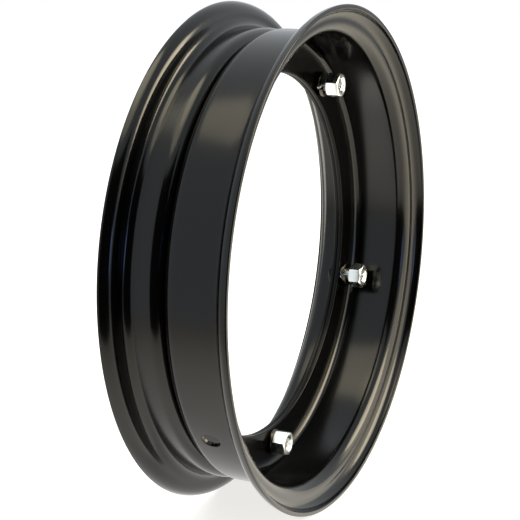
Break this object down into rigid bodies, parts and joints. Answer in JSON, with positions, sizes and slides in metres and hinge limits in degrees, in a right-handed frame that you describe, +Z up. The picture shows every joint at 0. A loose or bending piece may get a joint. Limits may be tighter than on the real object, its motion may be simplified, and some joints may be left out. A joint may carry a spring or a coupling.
{
  "type": "split rim wheel",
  "caption": "Split pressed-steel wheel rim with rolled flanges; its two halves are held together by studs, spring washers and nuts round a wide central opening.",
  "frame": {"origin": "the wheel's centre, on the axle line and midway between the two lips", "axes": "+Y along the axle, from the wide half towards the narrow half; +Z up through the midpoint between two of the upper studs, as the wheel stands with a stud at the bottom; +X sideways"},
  "size_m": [0.2812, 0.0708, 0.2812],
  "materials": {
    "rim_enamel": "gloss black stoved enamel",
    "zinc_plate": "bright zinc plate",
    "spring_steel": "dark zinc plate"
  },
  "bodies": {
    "root": {"outer_rim_half": "rim_enamel", "inner_rim_half": "rim_enamel", "stud_1": "zinc_plate", "stud_2": "zinc_plate", "stud_3": "zinc_plate", "stud_4": "zinc_plate", "stud_5": "zinc_plate", "spring_washer_1": "spring_steel", "spring_washer_2": "spring_steel", "spring_washer_3": "spring_steel", "spring_washer_4": "spring_steel", "spring_washer_5": "spring_steel", "nut_1": "zinc_plate", "nut_2": "zinc_plate", "nut_3": "zinc_plate", "nut_4": "zinc_plate", "nut_5": "zinc_plate"}
  },
  "joints": []
}
